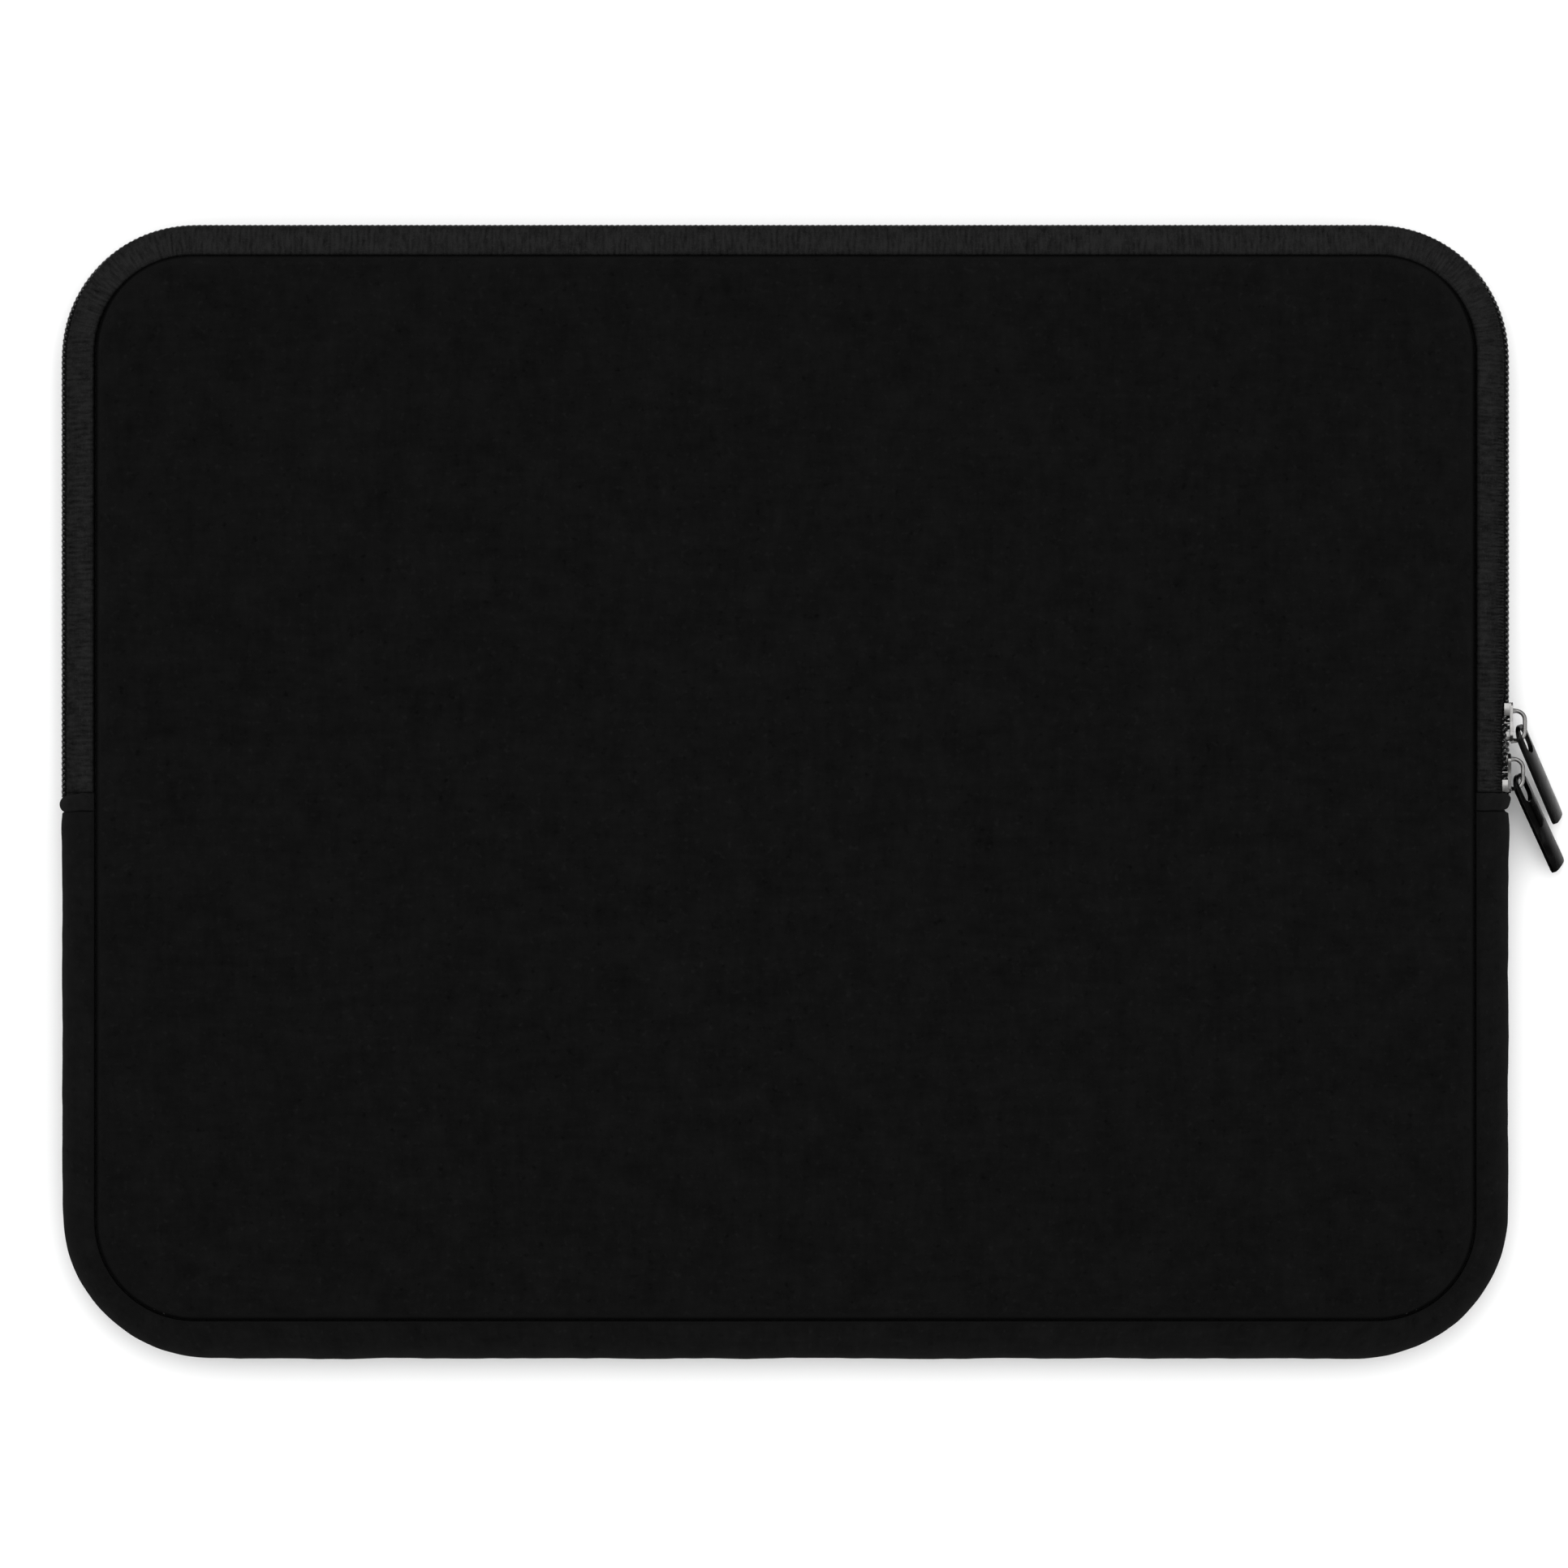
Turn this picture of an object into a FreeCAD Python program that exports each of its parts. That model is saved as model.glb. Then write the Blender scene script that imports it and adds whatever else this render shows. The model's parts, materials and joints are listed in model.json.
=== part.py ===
"""Zipped laptop sleeve, lying on its back: +X to the right, +Y towards the mouth, +Z out of the front.

The origin is the middle of the back face. All sizes are in millimetres.

The front and back panels are joined round their edges by a band. Over the lower half the band is a
neoprene gusset. Over the upper half it is the zip: a front tape and a back tape, each with its row of nylon
coil, closed by two sliders that meet head to head. The upper half of the front is the mouth flap: it swings
on a fold line across the sleeve, and everything sewn to the front is divided there by a round cut centred on
that line, so the flap swings clear of the rest at any angle.
"""

import FreeCAD, Part
import math
import os

from FreeCAD import Vector

# ---- driving dimensions -----------------------------------------------------------------------------
WIDTH = 340.0  # over the outer faces of the gusset
HEIGHT = 266.4
THICKNESS = 20.0
BAND = 7.8  # how far the gusset stands out from the panel seam
TOP_RADIUS = 23.2  # panel corners, at the seam
BOTTOM_RADIUS = 27.0
NEOPRENE = 3.0
LINING = 1.0
LINING_INSET = 0.1  # the lining stops this far short of the seam
PANEL_ROUND = 2.4  # rounding of a panel's outer rim

HALF_X = WIDTH / 2 - BAND  # panel half sizes, at the seam
HALF_Y = HEIGHT / 2 - BAND
MID_Z = THICKNESS / 2

# ---- gusset, end tabs and zip tapes, as (distance out from the seam, height) profiles ---------------
SEAM_GAP = 0.15
GUSSET_TOP = THICKNESS - 1.2
GUSSET_WALL = 2.4
GUSSET_LINING = 0.8
GUSSET_ROUND = 6.8
TAB_PROUD = 0.5  # how far an end tab stands out from the gusset
TAB_LENGTH = 3.5
TAB_WALL = 2.6
TAB_CREASE = 0.2

ZIP_END_Y = -0.3  # where the tapes run in under the end tabs
GUSSET_END_Y = ZIP_END_Y - TAB_LENGTH - 2 * TAB_CREASE
TAPE = 0.6
TAPE_OUT = 6.7  # outer face of the tape beside the coil
TAPE_TOP = THICKNESS - 1.5
TAPE_ROUND = 4.9
TAPE_FOOT = 0.1  # the tape's edge stops this far above the coil's lower side
COIL_DEPTH = 1.3
COIL_WIDTH = 1.6
COIL_SLIT = 1.0  # free width between the two coils, where the slider's post runs

BINDING_WALL = 1.4
BINDING_IN = 1.6
BINDING_DEPTH = 5.2
BINDING_GAP = 0.2
THREAD_RADIUS = 0.25
THREAD_OUT = 0.05
THREAD_DROP = 0.88  # below the front face

# ---- mouth flap -------------------------------------------------------------------------------------
FOLD_Y = 4.0  # the fold line runs along X here, at half thickness
FOLD_RADIUS = 18.0  # radius of the round cut between the flap and the rest of the front
FOLD_GAP = 0.3

# ---- sliders ----------------------------------------------------------------------------------------
SLIDER_LENGTH = 9.4
LOWER_SLIDER = (-0.25, 4.45)  # where each slider sits: out from the mean line, and its middle along Y
UPPER_SLIDER = (0.2, 16.4)
PLATE = 0.75
CHANNEL = 2.75  # free depth between the two plates
NARROW_HALF = 3.2  # half widths of a plate at its two ends
WIDE_HALF = 3.9
PLATE_CORNER = 0.9  # corners cut off a plate at its narrow end, and at its wide end
PLATE_NOSE = 1.6
PLATE_ROUND = 0.2
SLIDER_IN = 167.1  # inner face of the inner plate
END_GAP = 0.4  # the post and the flanges stop this far short of the plates' ends
FLANGE_LENGTH = 5.2
FLANGE_WALL = 0.6
TAPE_SLOT = 1.25
TAPE_SLOT_IN = 168.0
POST_WALL = 0.7
POST_LENGTH = 2.4
BAIL_BAR = 0.85
BAIL_WIDTH = 1.35
BAIL_LENGTH = 6.8
BAIL_BEND = 2.1
BAIL_RISE = 2.8  # height of the bar's centreline over the plate
BAIL_SUNK = 0.3  # how deep its feet go into the plate

# ---- pull tabs --------------------------------------------------------------------------------------
TAB_SIZE = 25.0
TAB_BREADTH = 7.0
TAB_EDGE = 0.85  # thickness at the long edges, and at the crown of the front face
TAB_CROWN = 1.25
EYE_BAR = 0.85
EYE_THICKNESS = 0.7  # the head is flattened to this as far as EYE_FLAT
EYE_FLAT = 1.45
EYE_WIDTH = 4.0
EYE_LENGTH = 6.4
TAB_END_ROUND = 0.8
UPPER_EYE = (172.45, 15.2, 10.0)  # where a pull hangs: its eye bar, then its long and cross axes
UPPER_ALONG = (0.39, -0.88, -0.27)
UPPER_ACROSS = (0.25, 0.41, -0.87)
LOWER_EYE = (172.05, 3.6, 10.0)
LOWER_ALONG = (0.40, -0.84, -0.275)
LOWER_ACROSS = (0.28, 0.50, -0.82)

FAR = 400.0  # larger than the whole sleeve, for cutting tools


# ---- outlines and sweeps ----------------------------------------------------------------------------
def outline(out, z):
    """The seam line, moved out by a distance and set at a height, as a closed wire."""
    x, y = HALF_X + out, HALF_Y + out
    corners = [(1, 1, TOP_RADIUS), (-1, 1, TOP_RADIUS), (-1, -1, BOTTOM_RADIUS), (1, -1, BOTTOM_RADIUS)]
    edges, last, first = [], None, None
    for sx, sy, seam_radius in corners:
        r = seam_radius + out
        centre = Vector(sx * (x - r), sy * (y - r), z)
        side, end = centre + Vector(sx * r, 0, 0), centre + Vector(0, sy * r, 0)
        start, stop = (side, end) if sx * sy > 0 else (end, side)
        middle = centre + Vector(sx, sy, 0).multiply(r / math.sqrt(2))
        if last:
            edges.append(Part.makeLine(last, start))
        edges.append(Part.Arc(start, middle, stop).toShape())
        first, last = first or start, stop
    edges.append(Part.makeLine(last, first))
    return Part.Wire(edges)


def plate(out, low, high):
    """A flat layer with the sleeve's outline."""
    return Part.Face(outline(out, low)).extrude(Vector(0, 0, high - low))


def profile(points):
    """A closed face in the XZ plane from (out, z) points; ((out, z), (out, z)) is an arc's middle and end."""

    def place(point):
        return Vector(HALF_X + point[0], 0, point[1])

    edges, last = [], place(points[0])
    for p in points[1:] + [points[0]]:
        if isinstance(p[0], tuple):
            middle, end = place(p[0]), place(p[1])
            edges.append(Part.Arc(last, middle, end).toShape())
        else:
            end = place(p)
            edges.append(Part.makeLine(last, end))
        last = end
    return Part.Face(Part.Wire(edges))


def quarter(centre, radius, start_deg, end_deg):
    """An arc step for profile(): its middle and end, from its centre."""

    def at(degrees):
        turn = math.radians(degrees)
        return centre[0] + radius * math.cos(turn), centre[1] + radius * math.sin(turn)

    return at((start_deg + end_deg) / 2), at(end_deg)


def sweep(face, end_y, upper):
    """A profile carried round the upper or the lower half of the seam line, from side to side."""
    way, radius = (1, TOP_RADIUS) if upper else (-1, BOTTOM_RADIUS)
    corner_x, corner_y = HALF_X - radius, way * (HALF_Y - radius)
    axis, mirror = Vector(0, 0, way), Vector(1, 0, 0)
    side = face.copy()
    side.translate(Vector(0, end_y, 0))
    straight = side.extrude(Vector(0, corner_y - end_y, 0))
    bend = face.copy()
    bend.translate(Vector(0, corner_y, 0))
    centre = Vector(corner_x, corner_y, 0)
    corner = bend.revolve(centre, axis, 90)
    crossing = bend.copy()
    crossing.rotate(centre, axis, 90)
    half = crossing.extrude(Vector(-corner_x, 0, 0))
    right = [straight, corner, half]
    left = [s.mirror(Vector(0, 0, 0), mirror) for s in right]
    whole = right[0].multiFuse(right[1:] + left).removeSplitter()
    return whole.Solids[0] if len(whole.Solids) == 1 else whole


def ring(face):
    """A profile carried all the way round the seam line."""
    whole = sweep(face, 0, True).fuse(sweep(face, 0, False)).removeSplitter()
    return whole.Solids[0] if len(whole.Solids) == 1 else whole


def turned_over(shape):
    """The same piece on the other face of the sleeve."""
    return shape.mirror(Vector(0, 0, MID_Z), Vector(0, 0, 1))


def fold_cylinder(radius):
    """A round cutting tool along the fold line."""
    return Part.makeCylinder(radius, 2 * FAR, Vector(-FAR, FOLD_Y, MID_Z), Vector(1, 0, 0))


def above_fold(shape):
    """The part of a front piece that swings with the mouth flap."""
    upper = Part.makeBox(2 * FAR, FAR, 2 * FAR, Vector(-FAR, FOLD_Y, -FAR))
    return shape.cut(fold_cylinder(FOLD_RADIUS + FOLD_GAP / 2)).common(upper)


def below_fold(shape):
    """The part of a front piece that stays with the sleeve."""
    lower = Part.makeBox(2 * FAR, FAR, 2 * FAR, Vector(-FAR, FOLD_Y - FAR, -FAR))
    return shape.common(lower.fuse(fold_cylinder(FOLD_RADIUS - FOLD_GAP / 2)))


def on_side(shape, side):
    """The part of a piece on the right for side 1, or on the left for side -1."""
    half = Part.makeBox(FAR, 2 * FAR, 2 * FAR, Vector(0 if side > 0 else -FAR, -FAR, -FAR))
    return shape.common(half).Solids[0]


# ---- panels and linings -----------------------------------------------------------------------------
def front_panel():
    """The neoprene of the front, with its outer rim rounded."""
    slab = plate(0, THICKNESS - NEOPRENE, THICKNESS)
    rim = [e for e in slab.Edges if all(abs(v.Z - THICKNESS) < 1e-6 for v in e.Vertexes)]
    return slab.makeFillet(PANEL_ROUND, rim)


def front_lining():
    """The plush layer inside the front panel."""
    return plate(-LINING_INSET, THICKNESS - NEOPRENE - LINING, THICKNESS - NEOPRENE)


# ---- the band between the panels --------------------------------------------------------------------
def c_profile(top, wall, out, rounding):
    """A C-shaped strip, open towards the pocket, from the front seam round to the back seam."""
    inner = rounding - wall
    low = THICKNESS - top
    right = out - rounding
    return profile(
        [
            (SEAM_GAP, top),
            (right, top),
            quarter((right, top - rounding), rounding, 90, 0),
            (out, low + rounding),
            quarter((right, low + rounding), rounding, 0, -90),
            (SEAM_GAP, low),
            (SEAM_GAP, low + wall),
            (right, low + wall),
            quarter((right, low + rounding), inner, -90, 0),
            (out - wall, top - rounding),
            quarter((right, top - rounding), inner, 0, 90),
            (SEAM_GAP, top - wall),
        ]
    )


def gusset():
    """The neoprene strip round the lower half of the edge, from one end tab to the other."""
    return sweep(c_profile(GUSSET_TOP, GUSSET_WALL, BAND, GUSSET_ROUND), GUSSET_END_Y, False)


def gusset_lining():
    """The cloth inside the gusset."""
    face = c_profile(GUSSET_TOP - GUSSET_WALL, GUSSET_LINING, BAND - GUSSET_WALL, GUSSET_ROUND - GUSSET_WALL)
    return sweep(face, GUSSET_END_Y, False)


def end_tab(side):
    """The folded strip that covers one end of the zip, right for side 1 and left for side -1."""
    face = c_profile(GUSSET_TOP, TAB_WALL, BAND + TAB_PROUD, GUSSET_ROUND)
    face.translate(Vector(0, ZIP_END_Y - TAB_CREASE - TAB_LENGTH, 0))
    tab = face.extrude(Vector(0, TAB_LENGTH, 0))
    return tab if side > 0 else tab.mirror(Vector(0, 0, 0), Vector(1, 0, 0))


def front_tape():
    """The woven tape from the front seam over to the coil."""
    inner = TAPE_ROUND - TAPE
    right = TAPE_OUT - TAPE_ROUND
    centre = (right, TAPE_TOP - TAPE_ROUND)
    foot = MID_Z + COIL_SLIT / 2 + TAPE_FOOT
    face = profile(
        [
            (SEAM_GAP, TAPE_TOP),
            (right, TAPE_TOP),
            quarter(centre, TAPE_ROUND, 90, 0),
            (TAPE_OUT, foot),
            (TAPE_OUT - TAPE, foot),
            (TAPE_OUT - TAPE, centre[1]),
            quarter(centre, inner, 0, 90),
            (SEAM_GAP, TAPE_TOP - TAPE),
        ]
    )
    return sweep(face, ZIP_END_Y, True)


def front_coil():
    """The envelope of the front row of nylon coil."""
    low = MID_Z + COIL_SLIT / 2
    high = low + COIL_WIDTH
    outer = TAPE_OUT + COIL_DEPTH
    section = profile([(TAPE_OUT, low), (outer, low), (outer, high), (TAPE_OUT, high)])
    return sweep(section, ZIP_END_Y, True)


def front_binding():
    """The tape bound over the raw seam edges, inside the pocket."""
    high = THICKNESS - NEOPRENE - LINING - BINDING_GAP
    low = high - BINDING_DEPTH
    inner, outer = -BINDING_IN, BINDING_WALL - BINDING_IN
    return ring(profile([(inner, low), (outer, low), (outer, high), (inner, high)]))


def front_thread():
    """The seam thread that lies in the groove between the panel and the band."""
    centre = Vector(HALF_X + THREAD_OUT, 0, THICKNESS - THREAD_DROP)
    circle = Part.Face(Part.Wire(Part.makeCircle(THREAD_RADIUS, centre, Vector(0, 1, 0))))
    return ring(circle)


# ---- sliders ----------------------------------------------------------------------------------------
def slider_plate(low_x, wall):
    """One plate, drawn with its narrow end towards +Y, centred on the origin in Y and Z."""
    h, shoulder = SLIDER_LENGTH / 2, SLIDER_LENGTH / 2 - FLANGE_LENGTH
    points = [
        (h, NARROW_HALF - PLATE_CORNER),
        (h - PLATE_CORNER, NARROW_HALF),
        (shoulder, NARROW_HALF),
        (-h + PLATE_NOSE, WIDE_HALF),
        (-h, WIDE_HALF - PLATE_NOSE),
    ]
    points += [(y, -z) for y, z in reversed(points)]
    wire = Part.makePolygon([Vector(low_x, y, z) for y, z in points + points[:1]])
    solid = Part.Face(wire).extrude(Vector(wall, 0, 0))
    edges_across = [e for e in solid.Edges if abs(e.Vertexes[0].X - e.Vertexes[1].X) < 1e-6]
    return solid.makeFillet(PLATE_ROUND, edges_across)


def bail():
    """The arch on the outer plate that holds the pull tab, from the narrow end to the wide end."""
    outer_face = SLIDER_IN + 2 * PLATE + CHANNEL
    foot = outer_face - BAIL_SUNK

    def bent_bar(grow, start):
        """The space inside a bent line that is the bail's centreline moved out by grow."""
        x, y, bend = outer_face + BAIL_RISE + grow, BAIL_LENGTH / 2 + grow, BAIL_BEND + grow
        slant = bend / math.sqrt(2)
        path = [Part.makeLine(Vector(start, -y, 0), Vector(start, y, 0))]
        path.append(Part.makeLine(Vector(start, y, 0), Vector(x - bend, y, 0)))
        middle = Vector(x - bend + slant, y - bend + slant, 0)
        path.append(Part.Arc(Vector(x - bend, y, 0), middle, Vector(x, y - bend, 0)).toShape())
        path.append(Part.makeLine(Vector(x, y - bend, 0), Vector(x, bend - y, 0)))
        middle = Vector(x - bend + slant, bend - y - slant, 0)
        path.append(Part.Arc(Vector(x, bend - y, 0), middle, Vector(x - bend, -y, 0)).toShape())
        path.append(Part.makeLine(Vector(x - bend, -y, 0), Vector(start, -y, 0)))
        return Part.Face(Part.Wire(path)).extrude(Vector(0, 0, BAIL_WIDTH))

    arch = bent_bar(BAIL_BAR / 2, foot).cut(bent_bar(-BAIL_BAR / 2, foot - BAIL_BAR))
    arch.translate(Vector(0, 0, -BAIL_WIDTH / 2))
    return arch


def slider(place, narrow_up):
    """A die-cast slider: two plates, the post between them, four flanges and the bail, in one piece."""
    inner_face = SLIDER_IN + PLATE
    outer_face = inner_face + CHANNEL
    h, sunk = SLIDER_LENGTH / 2, PLATE / 2
    body = slider_plate(SLIDER_IN, PLATE).fuse(slider_plate(outer_face, PLATE))
    corner = Vector(inner_face - sunk, -h + END_GAP, -POST_WALL / 2)
    post = Part.makeBox(CHANNEL + 2 * sunk, POST_LENGTH, POST_WALL, corner)
    flanges = []
    slot_out = TAPE_SLOT_IN + TAPE_SLOT
    for z in (NARROW_HALF - FLANGE_WALL, -NARROW_HALF):
        for low, high in ((inner_face - sunk, TAPE_SLOT_IN), (slot_out, outer_face + sunk)):
            corner = Vector(low, h - FLANGE_LENGTH, z)
            flanges.append(Part.makeBox(high - low, FLANGE_LENGTH - END_GAP, FLANGE_WALL, corner))
    body = body.multiFuse([post, bail()] + flanges).removeSplitter()
    if not narrow_up:
        body.rotate(Vector(0, 0, 0), Vector(1, 0, 0), 180)
    body.translate(Vector(place[0], place[1], MID_Z))
    return body.Solids[0]


# ---- pull tabs --------------------------------------------------------------------------------------
def pull_tab(eye, along, across):
    """A flat pull with a slotted, round head, hung by its eye bar, with its axes along and across."""
    half, e, r = TAB_BREADTH / 2, TAB_END_ROUND, EYE_WIDTH / 2
    left, right = Vector(0, half, 0), Vector(0, -half, 0)
    up = Vector(0, 0, TAB_EDGE)
    section = [
        Part.makeLine(right, left),
        Part.makeLine(left, left + up),
        Part.Arc(left + up, Vector(0, 0, TAB_CROWN), right + up).toShape(),
        Part.makeLine(right + up, right),
    ]
    bar = Part.Face(Part.Wire(section)).extrude(Vector(TAB_SIZE, 0, 0))

    low, deep = -1.0, 3.0  # cutting tools go right through the bar

    def disc(radius, x, y):
        return Part.makeCylinder(radius, deep, Vector(x, y, low))

    def block(length, width, x):
        return Part.makeBox(length, width, deep, Vector(x, -width / 2, low))

    length = TAB_SIZE - half
    foot = [block(length - e, 2 * half, half), block(length, 2 * (half - e), half)]
    foot += [disc(e, TAB_SIZE - e, half - e), disc(e, TAB_SIZE - e, e - half)]
    shape = bar.common(disc(half, half, 0).multiFuse(foot).removeSplitter())
    slot_end = EYE_BAR + EYE_LENGTH
    slot = block(EYE_LENGTH - 2 * r, 2 * r, EYE_BAR + r)
    slot = slot.multiFuse([disc(r, EYE_BAR + r, 0), disc(r, slot_end - r, 0)]).removeSplitter()
    flat = Part.makeBox(EYE_FLAT + 1, 2 * TAB_BREADTH, 2, Vector(-1, -TAB_BREADTH, EYE_THICKNESS))
    shape = shape.cut(slot).cut(flat).removeSplitter().Solids[0]
    shape.translate(Vector(-EYE_BAR / 2, 0, -EYE_THICKNESS / 2))

    a = Vector(*along).normalize()
    c = Vector(*across)
    c = (c - a * c.dot(a)).normalize()
    n = a.cross(c)
    axes = FreeCAD.Matrix(a.x, c.x, n.x, 0, a.y, c.y, n.y, 0, a.z, c.z, n.z, 0)
    turn = FreeCAD.Rotation(axes)
    shape.Placement = FreeCAD.Placement(Vector(*eye), turn).multiply(shape.Placement)
    return shape


# ---- the whole sleeve -------------------------------------------------------------------------------
def main():
    """Makes every piece and writes it to its own file."""
    os.makedirs("parts", exist_ok=True)
    panel, lining = front_panel(), front_lining()
    tape, coil = front_tape(), front_coil()
    binding, thread = front_binding(), front_thread()
    parts = {
        "back_panel": turned_over(panel),
        "back_lining": turned_over(lining),
        "back_zip_tape": turned_over(tape),
        "back_coil": turned_over(coil),
        "back_seam_binding": turned_over(binding),
        "back_seam_thread": turned_over(thread),
        "front_panel_lower": below_fold(panel),
        "front_lining_lower": below_fold(lining),
        "front_zip_tape_end_right": on_side(below_fold(tape), 1),
        "front_zip_tape_end_left": on_side(below_fold(tape), -1),
        "front_coil_end_right": on_side(below_fold(coil), 1),
        "front_coil_end_left": on_side(below_fold(coil), -1),
        "front_seam_binding_lower": below_fold(binding),
        "front_seam_thread_lower": below_fold(thread),
        "front_panel_upper": above_fold(panel),
        "front_lining_upper": above_fold(lining),
        "front_zip_tape": above_fold(tape),
        "front_coil": above_fold(coil),
        "front_seam_binding_upper": above_fold(binding),
        "front_seam_thread_upper": above_fold(thread),
        "gusset": gusset(),
        "gusset_lining": gusset_lining(),
        "zip_end_tab_right": end_tab(1),
        "zip_end_tab_left": end_tab(-1),
        "upper_slider": slider(UPPER_SLIDER, True),
        "lower_slider": slider(LOWER_SLIDER, False),
        "upper_pull_tab": pull_tab(UPPER_EYE, UPPER_ALONG, UPPER_ACROSS),
        "lower_pull_tab": pull_tab(LOWER_EYE, LOWER_ALONG, LOWER_ACROSS),
    }
    for name, shape in parts.items():
        print(f"{name:26s} solids {len(shape.Solids)} valid {shape.isValid()} volume {shape.Volume:.1f} mm3")
        shape.exportStep(f"parts/{name}.step")


main()
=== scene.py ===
"""A zipped neoprene laptop sleeve lying on its back, seen from straight above.

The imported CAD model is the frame. Its plain solids are replaced here by sewn and moulded pieces of the same
size. Lengths are in millimetres, and become metres where a mesh is made. X runs along the sleeve's width, Y
towards the zipped mouth, and Z out of the front. A place on the band round the panels is given by how far
along the edge it is, how far out from the panel seam, and its height.
"""

import json
import math
from functools import partial

import bmesh
import bpy
import numpy as np
from mathutils import Matrix, Vector


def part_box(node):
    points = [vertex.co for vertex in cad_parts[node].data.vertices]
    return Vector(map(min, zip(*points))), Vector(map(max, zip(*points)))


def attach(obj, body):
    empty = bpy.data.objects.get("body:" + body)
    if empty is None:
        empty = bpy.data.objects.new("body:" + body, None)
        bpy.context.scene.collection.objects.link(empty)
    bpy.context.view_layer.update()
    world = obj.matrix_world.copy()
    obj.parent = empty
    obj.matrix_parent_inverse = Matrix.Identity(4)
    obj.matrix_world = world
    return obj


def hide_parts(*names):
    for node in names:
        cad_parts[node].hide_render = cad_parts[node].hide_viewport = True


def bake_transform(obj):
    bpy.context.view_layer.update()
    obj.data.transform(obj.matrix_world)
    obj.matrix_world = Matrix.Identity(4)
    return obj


MM = 0.001
SLEEVE, FLAP = "sleeve", "mouth_flap"

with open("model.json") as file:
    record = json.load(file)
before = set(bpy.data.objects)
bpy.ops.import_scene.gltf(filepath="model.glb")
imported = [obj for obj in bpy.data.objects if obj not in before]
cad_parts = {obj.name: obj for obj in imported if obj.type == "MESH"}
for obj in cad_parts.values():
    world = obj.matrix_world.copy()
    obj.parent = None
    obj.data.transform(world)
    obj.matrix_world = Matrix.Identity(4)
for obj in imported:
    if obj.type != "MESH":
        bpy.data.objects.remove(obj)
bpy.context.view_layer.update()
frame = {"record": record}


def box_mm(node):
    """The lowest and highest corner of a CAD node, in millimetres."""
    low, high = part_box(node)
    return np.array(low) / MM, np.array(high) / MM


def joint_mm(name):
    """The place of a hinge, in millimetres."""
    joint = next(j for j in frame["record"]["behaviour"]["joints"] if j["name"] == name)
    return np.array(joint["pos_m"]) / MM


# ---- sizes ----
GUSSET_LOW, GUSSET_HIGH = box_mm("gusset")
TAB_LOW, TAB_HIGH = box_mm("zip_end_tab_right")
ZIP_END = box_mm("back_zip_tape")[0][1]
SLIDER_TOP = box_mm("upper_slider")[1][1]

THICKNESS = box_mm("front_panel_lower")[1][2]
MID = THICKNESS / 2
BAND = 7.8  # how far the band reaches out from the seam on the right and left
TOP_REACH, BOTTOM_REACH = 7.3, 9.0  # and at the mouth and the foot
OUTER_X = GUSSET_HIGH[0]
OUTER_Y = -GUSSET_LOW[1]

# an outline's half width, then the (reach in Y, corner radius) of its upper end, 1, and its lower end, -1
OUTER = {"x": OUTER_X, 1: (OUTER_Y, 31.0), -1: (OUTER_Y, 35.0)}
SEAM = {"x": OUTER_X - BAND, 1: (OUTER_Y - TOP_REACH, 23.0), -1: (OUTER_Y - BOTTOM_REACH, 23.5)}

FOAM = 3.0
THINNEST = 0.4  # least thickness of a panel, at its rim
PLUSH = 0.95
GLUE = 0.06  # between a lining and the foam it is bonded to
GUSSET_WALL, GUSSET_LINING_WALL, TAB_WALL = 2.4, 0.7, 2.3
TAPE_WALL = 0.6
TAPE_OUT = 6.6  # outer face of the tape beside the coil
TAPE_TOP = 18.5
TAPE_FOOT = 12.6  # height where its foot starts, below the round
COIL_PITCH = 1.31
WIRE = 0.33  # radius of the coil's nylon wire
COIL_OUT = 7.36
COIL_DEEP, COIL_WIDE = 0.32, 0.86  # half depth and half width of the wire's loop
COIL_CLOSED, COIL_OPEN = 0.93, 1.62  # from the middle of the zip to the middle of a row
COIL_START = 0.1  # the coil starts this far from the end of its edge
THREAD = 0.16  # radius of the seam thread
COIL_THREAD = 0.13
TUBE_TIP = 0.45  # a thread's or wire's ends narrow to this share of its radius


# ---- smooth random shapes ----
def waver(s, length, seed):
    """A smooth random line through s, between about -1 and 1, with waves of about the given length."""
    rng = np.random.default_rng(seed)
    total = np.zeros_like(s, dtype=float)
    for share in (0.7, 1.0, 1.45, 2.1):
        total += np.sin(2 * np.pi * s / (length * share) + rng.uniform(0, 2 * np.pi))
    return total / 3.0


def dapple(x, y, length, seed):
    """A smooth random surface over x and y, between about -1 and 1."""
    rng = np.random.default_rng(seed)
    total = np.zeros_like(x, dtype=float)
    for turn in rng.uniform(0, 2 * np.pi, 9):
        k = 2 * np.pi / (length * rng.uniform(0.7, 1.6))
        total += np.sin(k * (x * math.cos(turn) + y * math.sin(turn)) + rng.uniform(0, 2 * np.pi))
    return total / 4.0


def ease(x, start, end):
    """0 before start, 1 after end, and smooth in between."""
    t = np.clip((x - start) / (end - start), 0, 1)
    return t * t * (3 - 2 * t)


# ---- meshes ----
def make(name, points, faces, cloth=None):
    """A smooth mesh from points in millimetres. cloth is each point's place on the flat cloth."""
    mesh = bpy.data.meshes.new(name)
    metres = np.asarray(points, float).reshape(-1, 3) * MM
    mesh.from_pydata(metres.tolist(), [], [list(map(int, face)) for face in faces])
    if cloth is not None:
        attribute = mesh.attributes.new("cloth", "FLOAT_VECTOR", "POINT")
        attribute.data.foreach_set("vector", np.asarray(cloth, np.float32).reshape(-1))
    mesh.validate()
    mesh.polygons.foreach_set("use_smooth", [True] * len(mesh.polygons))
    piece = bpy.data.objects.new(name, mesh)
    bpy.context.collection.objects.link(piece)
    return piece


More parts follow.
